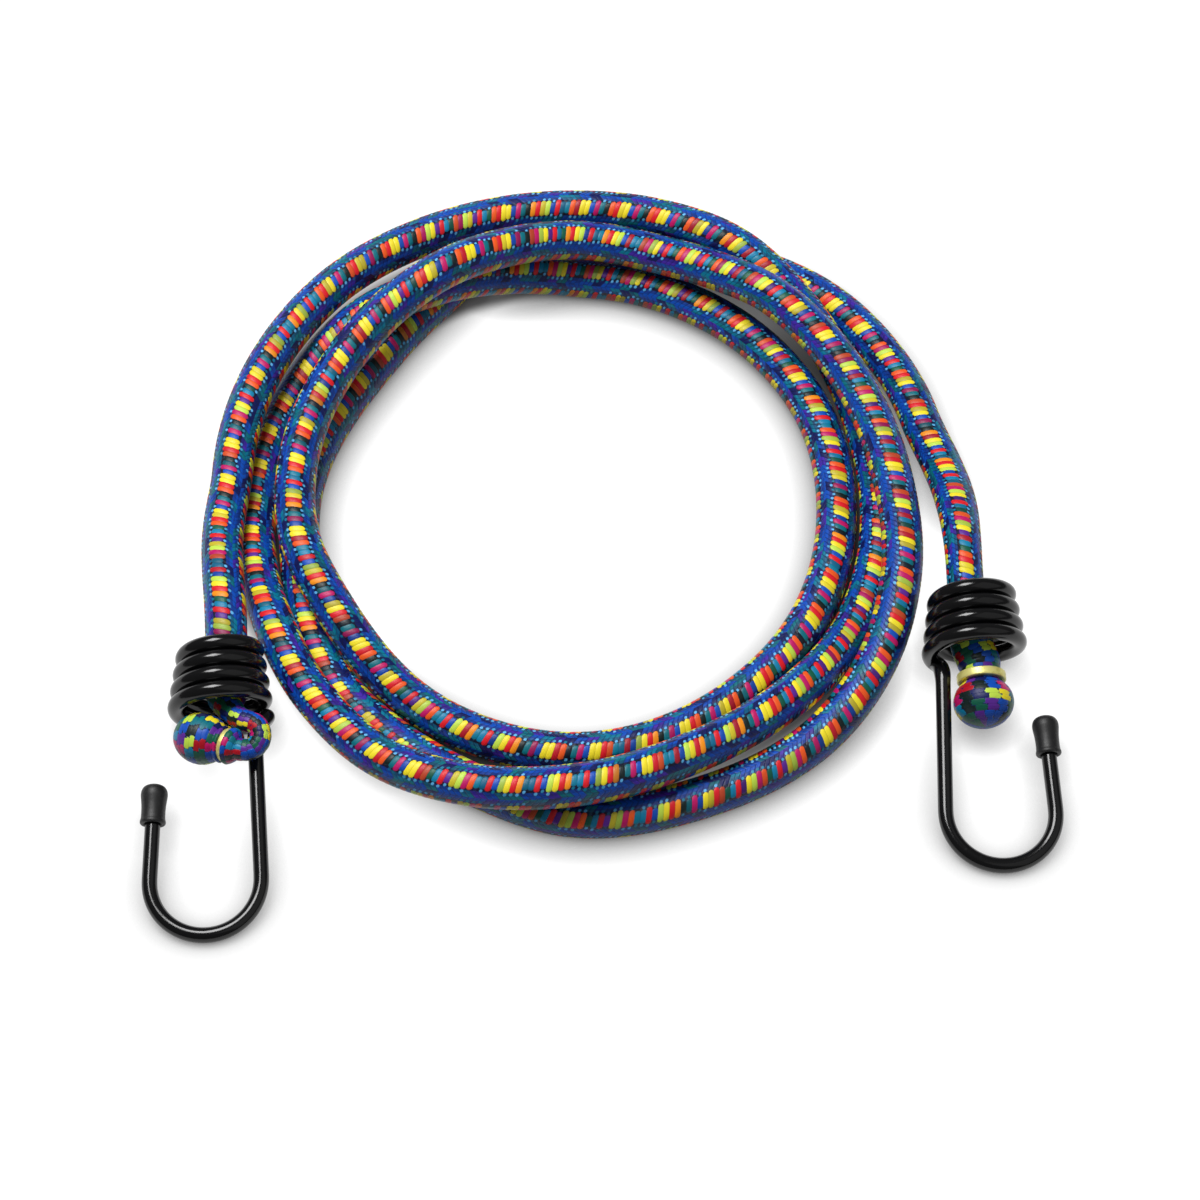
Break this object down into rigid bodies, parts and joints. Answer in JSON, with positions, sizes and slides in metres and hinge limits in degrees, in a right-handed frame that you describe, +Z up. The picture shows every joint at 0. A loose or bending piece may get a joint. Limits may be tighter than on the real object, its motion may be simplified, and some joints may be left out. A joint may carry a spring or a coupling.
{
  "type": "bungee cord",
  "caption": "Elastic cord in a braided sheath, laid in a loose coil, with a swivelling sprung wire hook held on each end by a ringed stopper bulb.",
  "frame": {"origin": "middle of the box around the whole part, on the floor that it lies on", "axes": "+Z up from the floor, -Y the way the hooks point, +X towards the end with the straight tail"},
  "size_m": [0.1992, 0.1948, 0.027],
  "materials": {
    "braid": "multicoloured braided yarn",
    "latex": "matte",
    "hook_coat": "semi-gloss coating on steel wire",
    "cap": "satin",
    "ring": "satin"
  },
  "bodies": {
    "cord": {"coil_sheath": "braid", "coil_core": "latex", "lead_a_sheath": "braid", "lead_a_core": "latex", "lead_b_sheath": "braid", "lead_b_core": "latex"},
    "end_a": {"neck_a_sheath": "braid", "neck_a_core": "latex", "tail_a": "braid", "crimp_ring_a": "ring"},
    "end_b": {"neck_b_sheath": "braid", "neck_b_core": "latex", "tail_b": "braid", "crimp_ring_b": "ring"},
    "hook_body_a": {"hook_a": "hook_coat", "tip_cap_a": "cap"},
    "hook_body_b": {"hook_b": "hook_coat", "tip_cap_b": "cap"}
  },
  "joints": [
    {"name": "stretch_a", "type": "slide", "parent": "cord", "child": "end_a", "axis": [0.0523, -0.9986, 0], "range_m": [0, 0.03], "stiffness_N_per_m": 2500, "deforming": ["lead_a_sheath", "lead_a_core"]},
    {"name": "swivel_a", "type": "hinge", "parent": "end_a", "child": "hook_body_a", "pos_m": [-0.08321, -0.04752, 0.01134], "axis": [0.0513, -0.9796, -0.1943], "range_deg": [-25, 2]},
    {"name": "stretch_b", "type": "slide", "parent": "cord", "child": "end_b", "axis": [0.0645, -0.9979, 0], "range_m": [0, 0.03], "stiffness_N_per_m": 2500, "deforming": ["lead_b_sheath", "lead_b_core"]},
    {"name": "swivel_b", "type": "hinge", "parent": "end_b", "child": "hook_body_b", "pos_m": [0.08189, -0.03092, 0.01065], "axis": [0.0086, -0.9836, -0.1802], "range_deg": [-2, 25]}
  ]
}
